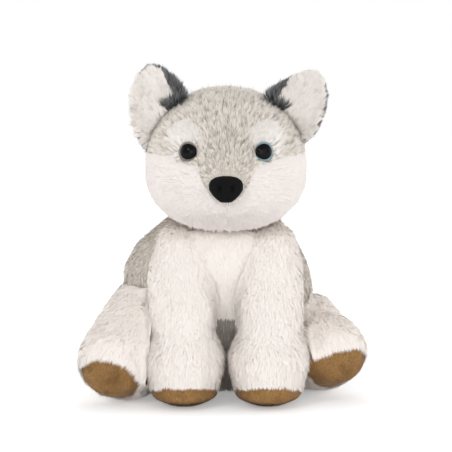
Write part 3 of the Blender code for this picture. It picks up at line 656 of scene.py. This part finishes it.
def eye(side):
    """A polished dome with a pupil, a clouded ring and a rolled rim, spun round its shank."""
    axis, pole = eye_seat(side)
    steps = 14
    outline = []
    for k in range(steps + 1):
        turn = math.pi / 2 * k / steps
        outline.append((EYE_RADIUS * math.sin(turn), EYE_DOME * (0.16 + 0.84 * math.cos(turn))))
    outline += [(0.985 * EYE_RADIUS, 0.05 * EYE_DOME), (0.94 * EYE_RADIUS, 0.0)]
    outline += [(EYE_SHANK + 0.35 * MM, 0.0), (EYE_SHANK, -0.5 * MM), (EYE_SHANK, 0.4 * MM - EYE_SHANK_LENGTH)]
    outline += [(EYE_SHANK - 0.35 * MM, -EYE_SHANK_LENGTH), (0.0, -EYE_SHANK_LENGTH)]
    mesh = bpy.data.meshes.new(f"{side}_glass_eye")
    mesh.from_pydata([(x, 0, z) for x, z in outline], [(k, k + 1) for k in range(len(outline) - 1)], [])
    piece = bpy.data.objects.new(f"{side}_glass_eye", mesh)
    scene.collection.objects.link(piece)
    deselect()
    piece.select_set(True)
    bpy.context.view_layer.objects.active = piece
    bpy.ops.object.mode_set(mode="EDIT")
    bpy.ops.mesh.select_all(action="SELECT")
    bpy.ops.mesh.spin(steps=56, angle=2 * math.pi, center=(0, 0, 0), axis=(0, 0, 1))
    bpy.ops.mesh.select_all(action="SELECT")
    bpy.ops.mesh.remove_doubles(threshold=0.01 * MM)
    bpy.ops.mesh.normals_make_consistent(inside=False)
    bpy.ops.object.mode_set(mode="OBJECT")
    first = Vector((0, 0, 1)).cross(axis).normalized()
    second = axis.cross(first)
    turn = Matrix((first, second, axis)).transposed().to_4x4()
    inwards = Vector((-SIDES[side], 0, 0))
    pupil = Vector((inwards.dot(first), inwards.dot(second))).normalized() * PUPIL_INWARDS
    widest = 1 + PUPIL_INWARDS
    spread = [(v.co.xy / EYE_RADIUS - pupil).length / widest if v.co.z > 0 else 1.0 for v in mesh.vertices]
    mesh.attributes.new("from_middle", "FLOAT", "POINT").data.foreach_set("value", spread)
    mesh.transform(Matrix.Translation(pole - axis * EYE_DOME) @ turn)
    bpy.ops.object.shade_smooth_by_angle(angle=math.radians(50))
    mesh.materials.append(looks[f"{side}_eye"])
    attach(piece, "root")
    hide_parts(f"{side}_eye")


def nose():
    """The flocked nose, with soft edges, nostrils and the notch below."""
    piece = joined("flocked_nose", ["nose"])
    apply(piece, "REMESH", mode="VOXEL", voxel_size=0.62 * MM)
    apply(piece, "SMOOTH", factor=0.5, iterations=7)
    apply(piece, "DISPLACE", strength=0.25 * MM, mid_level=0.0)
    spots, normals = arrays(piece)
    low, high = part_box("nose")
    below = np.clip(1 - 2 * (spots[:, 2] - low[2]) / (high[2] - low[2]), 0, 1)
    spots[:, 0] *= 1 - 0.26 * below ** 1.3
    for sign in (-1, 1):
        off = spots[:, [0, 2]] - (sign * NOSTRIL_X, NOSE_MIDDLE[2] + 0.2 * MM)
        dimple = np.exp(-(np.linalg.norm(off / (1.5 * MM, 2.1 * MM), axis=1) ** 2))
        spots[:, 1] += 2.0 * MM * dimple * (normals[:, 1] < -0.3)
    piece.data.vertices.foreach_set("co", spots.ravel())
    piece.data.polygons.foreach_set("use_smooth", np.ones(len(piece.data.polygons), bool))
    piece.data.materials.append(looks["nose_flock"])
    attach(piece, "root")
    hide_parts("nose")


# How the pile lies on each section

def from_nose(spots, up):
    """Forehead up and back, cheeks out, chin and back of the head down."""
    behind = np.clip((spots[:, 1:2] + 0.03) / 0.05, 0, 1)
    away = unit(spots - NOSE_TIP) * (1 - behind) + np.array((0, 0.2, -1.0)) * behind
    fall = 0.25 * (spots[:, 2:3] < 0.19) + 0.9 * np.clip((0.168 - spots[:, 2:3]) / 0.018, 0, 1)
    return away - fall * np.array((0, 0, 1))


def downwards(spots, up):
    return np.tile((0.0, -0.12, -1.0), (len(spots), 1))


def front_leg_lay(spots, up):
    low = np.clip((0.055 - spots[:, 2:3]) / 0.03, 0, 1)
    outward = unit(spots - np.array((0, -0.088, 0))) * np.array((0.0, 1.0, 0.0))
    return np.array((0.0, -0.10, -1.0)) + low * (0.9 * outward)


def hind_leg_lay(side):
    return lambda spots, up: np.tile(HIND_LAY[side], (len(spots), 1))


def ear_lay(side):
    return lambda spots, up: unit(spots - EAR_ROOTS[side])


def dark_edge(side, spots):
    """How far the dark cloth of an ear's back comes round its edge, by the turn about the ear's middle."""
    low, high = (np.array(corner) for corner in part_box(f"{side}_ear_back"))
    off = spots - (low + high) / 2
    turn = np.degrees(np.arctan2(off[:, 2], SIDES[side] * off[:, 0]))
    turn = np.where(turn < -130, turn + 360, turn)  # 0 outwards, 90 up, 180 inwards
    if side == "left":
        return np.interp(turn, (-80, -60, -10, 40, 55, 80, 105, 140, 170, 190, 205),
                         (0, 0.6, 1.0, 0.9, 0, 0, 1.0, 2.0, 3.6, 2.5, 0)) * MM
    return np.interp(turn, (50, 70, 100, 140, 165, 180, 195), (0, 0.8, 1.8, 3.6, 5.0, 3.0, 0)) * MM


def fold_over(side, points, faces, owner):
    """Gives the dark back of an ear the faces of its lining that lie within the turned edge."""
    middles = np.array([points[list(face)].mean(0) for face in faces])
    of_back = {i for face, whose in zip(faces, owner) if whose == 0 for i in face}
    of_lining = {i for face, whose in zip(faces, owner) if whose == 1 for i in face}
    edge = points[sorted(of_back & of_lining)]
    finder = KDTree(len(edge))
    for k, spot in enumerate(edge):
        finder.insert(spot, k)
    finder.balance()
    reach = dark_edge(side, middles)
    away = np.array([finder.find(spot)[2] for spot in middles])
    return np.where((owner == 1) & (away < reach), 0, owner)


def grey_belly_and_painted_shade(spots):
    """A mask of the grey underside that shows between the front legs, whose pile is also painted dark there as
    shade.
    """
    return (spots[:, 2] < 0.071) & (spots[:, 1] < -0.02) & (np.abs(spots[:, 0]) < 0.045)


def fringe(side):
    """The dark pile is long where it shows past the ear's edge and short elsewhere."""
    return lambda spots, up: 0.5 + 0.8 * np.clip(dark_edge(side, spots) / (3 * MM), 0, 1)


def tail_lay(spots, up):
    return np.tile((0.0, 0.45, -1.0), (len(spots), 1))


def face_trim(spots, up):
    """Short by the nose, longer up the forehead and out on the cheeks."""
    chin = 0.7 * np.clip((0.162 - spots[:, 2]) / 0.012, 0, 1) * (spots[:, 1] < -0.04)
    return np.clip(0.35 + (np.linalg.norm(spots - NOSE_TIP, axis=1) - 0.016) / 0.060, 0.35, 1.0) + chin


def bare_under_face(spots, up):
    """No pile under an eye or the nose."""
    share = np.ones(len(spots))
    for centre in eyes.values():
        share[np.linalg.norm(spots - centre, axis=1) < EYE_RADIUS] = 0
    near = (spots - NOSE_MIDDLE) / np.array((NOSE_REACH, 0.016, 0.0105))
    share[np.linalg.norm(near, axis=1) < 1] = 0
    return share


def seat_thin(spots, up):
    """The pile is thin where the dog sits on it."""
    return np.where((spots[:, 2] < 0.006) & (up[:, 2] < -0.7), 0.15, 1.0)


def round_the_eyes(spots, up):
    """White pile that fades out round each brow patch, and down the outer side of each eye."""
    half = (0.0130, 0.0115)  # a patch's half width and half height
    off = (np.abs(spots[:, [0, 2]] - (0, BROW_Z)) - (BROW_X, 0)) / half
    share = np.clip((1.15 - np.linalg.norm(off, axis=1)) / 0.45, 0, 1) * (spots[:, 1] < -0.04)
    for side, centre in eyes.items():
        off = spots - centre
        outer = np.clip((SIDES[side] * off[:, 0] + 0.002) / 0.004, 0, 1)
        ring = np.clip((0.0165 - np.linalg.norm(off, axis=1)) / 0.006, 0, 1)
        share = np.maximum(share, ring * outer)
    under_nose = np.clip((0.182 - spots[:, 2]) / 0.004, 0, 1) * (spots[:, 1] < -0.08)
    behind_cheek = np.clip((0.030 - spots[:, 1]) / 0.016, 0, 1) * np.clip((0.211 - spots[:, 2]) / 0.006, 0, 1)
    behind_cheek = behind_cheek * (spots[:, 1] > -0.05)
    return np.maximum(share, np.maximum(under_nose, behind_cheek))


def paw_trim(spots, up):
    """Fuller round the paws, cut back along the sole's edge."""
    fuller = 0.5 * np.clip((0.062 - spots[:, 2]) / 0.02, 0, 1)
    return 1.0 + fuller - 0.65 * np.clip((0.036 - spots[:, 2]) / 0.012, 0, 1)


def hind_paw_trim(spots, up):
    return 1.0 + 0.45 * np.clip((-0.055 - spots[:, 1]) / 0.03, 0, 1)


def white(count, lay, length=0.0062, **more):
    return {"slot": "white_pile", "count": count, "lay": lay, "length": length, "lean": 66,
            "width": 0.74 * MM, "tuft": 2.0 * MM, "pull": 0.16, "round": 0.18, **more}


def velvet(count, lay, **more):
    return {"slot": "brown_velvet", "count": count, "lay": lay, "length": 0.0016, "lean": 58,
            "width": 0.45 * MM, "tuft": 5.0 * MM, "pull": 0.15, "round": 0.15, **more}


def sections():
    """Each section: its stuffing, its skin's voxel, smoothing rounds and set-back, and its panels' pile."""
    face = {"face": True, "trim": face_trim, "thick": bare_under_face}
    grey = {"slot": "grey_pile", "lean": 56, "width": 0.56 * MM, "tuft": 3.0 * MM, "pull": 0.6, "round": 0.55}
    made = {
        "head": ("head_stuffing", 3.5 * MM, 5, 2.8 * MM, {
            "head_crown_panel": {**grey, **face, "count": 60000, "lay": from_nose, "length": 0.0085,
                                 "pale": round_the_eyes},
            "left_cheek_panel": white(27000, from_nose, 0.0065, look="painted_shade_cheek_pile", **face),
            "right_cheek_panel": white(27000, from_nose, 0.0065, look="painted_shade_cheek_pile", **face),
            "left_brow_patch": white(3000, from_nose, 0.0075, face=True, look="painted_shade_brow_pile"),
            "right_brow_patch": white(3000, from_nose, 0.0075, face=True, look="painted_shade_brow_pile")}),
        "body": ("body_stuffing", 4.0 * MM, 5, 1.6 * MM, {
            "back_panel": {**grey, "count": 46000, "lay": downwards, "length": 0.0055, "tuft": 2.0 * MM,
                           "pull": 0.22, "round": 0.2, "thick": seat_thin, "deep": grey_belly_and_painted_shade},
            "chest_panel": white(20000, downwards)}),
        "tail": ("tail_stuffing", 3.0 * MM, 4, 2.2 * MM, {
            "tail": {**grey, "count": 12000, "lay": tail_lay, "length": 0.0090}}),
    }
    for side in SIDES:
        made[f"{side}_front_leg"] = (f"{side}_front_leg_stuffing", 3.6 * MM, 5, 2.2 * MM, {
            f"{side}_front_leg": white(36000, front_leg_lay, trim=paw_trim),
            f"{side}_front_sole": velvet(6000, front_leg_lay)})
        made[f"{side}_hind_leg"] = (f"{side}_hind_leg_stuffing", 3.8 * MM, 5, 2.2 * MM, {
            f"{side}_hind_leg": white(42000, hind_leg_lay(side), lean=72, trim=hind_paw_trim, thick=seat_thin),
            f"{side}_hind_sole": velvet(6000, downwards)})
        made[f"{side}_ear"] = (None, 1.5 * MM, 3, 1.0 * MM, {
            f"{side}_ear_back": {"slot": "dark_pile", "count": 8000, "lay": ear_lay(side), "length": 0.0085,
                                 "lean": 60, "width": 0.50 * MM, "tuft": 2.6 * MM, "pull": 0.3,
                                 "trim": fringe(side)},
            f"{side}_ear_lining": white(8500, ear_lay(side), 0.0078, lean=54, tuft=2.8 * MM,
                                        pull=0.45, round=0.4, look="painted_shade_lining_pile")})
    return made


def beside(section):
    """The neighbours that a section's cloth runs into: its skin is drawn over them and cut at the crease."""
    torso = ["back_panel", "chest_panel"]
    if section.endswith("hind_leg"):
        return [*torso, section.replace("hind", "front")]
    return torso if section.endswith("leg") or section == "tail" else []


# Neighbours whose stuffing is taken in with them
CORES = {"back_panel": "body_stuffing", "left_front_leg": "left_front_leg_stuffing",
         "right_front_leg": "right_front_leg_stuffing"}

camera()
stage()
looks = finishes()

eyes = {}
for side in SIDES:
    axis, pole = eye_seat(side)
    eyes[side] = np.array(pole - axis * EYE_DOME * 0.8)

plans = sections()
hidden = {}  # the room each section fills, where no other section's pile grows
for label, (core, voxel, _, _, panels) in plans.items():
    volume = skin_of(f"{label}_volume", [*panels, *([core] if core else [])], voxel, 2, 0.5 * MM)
    points, _ = arrays(volume)
    hidden[label] = (tree_of(volume.data), points.min(0), points.max(0))
    bpy.data.objects.remove(volume)

skins = {}
for label, (core, voxel, rounds, inset, panels) in plans.items():
    near = beside(label)
    solids = [*panels, *([core] if core else []), *near, *[CORES[name] for name in near if name in CORES]]
    skins[label] = skin_of(f"{label}_skin", solids, voxel, rounds, inset)
    if core:
        stuffed(skins[label], SWELL)

for label, (core, _, _, inset, panels) in plans.items():
    near = beside(label)
    skin = skins[label]
    if core:
        filling(label, core)
    faces, owner = share_out(skin, [*panels, *near], inset)
    points, normals = arrays(skin)
    if label.endswith("ear"):
        owner = fold_over(label.split("_")[0], points, faces, owner)
    if label == "body":
        middles = np.array([points[list(face)].mean(0) for face in faces])
        owner = np.where(grey_belly_and_painted_shade(middles), 0, owner)
    others = [hidden[name] for name in hidden if name != label]
    for n, (node, plan) in enumerate(panels.items()):
        own_faces = [face for face, whose in zip(faces, owner) if whose == n]
        triangles = np.array([(f[0], f[k], f[k + 1]) for f in own_faces for k in range(1, len(f) - 1)])
        strands = grow(points, normals, triangles, plan, others)
        shell = shell_of(points, own_faces, f"{node}_backing")
        look = looks[plan.get("look", plan["slot"])]
        pile_piece(f"{node}_pile", node, shell, strands, look)
    bpy.data.objects.remove(skin)

for side in SIDES:
    eye(side)
nose()

for name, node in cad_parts.items():
    if name.endswith("washer"):
        node.data.materials.clear()
        node.data.materials.append(looks["nylon"])
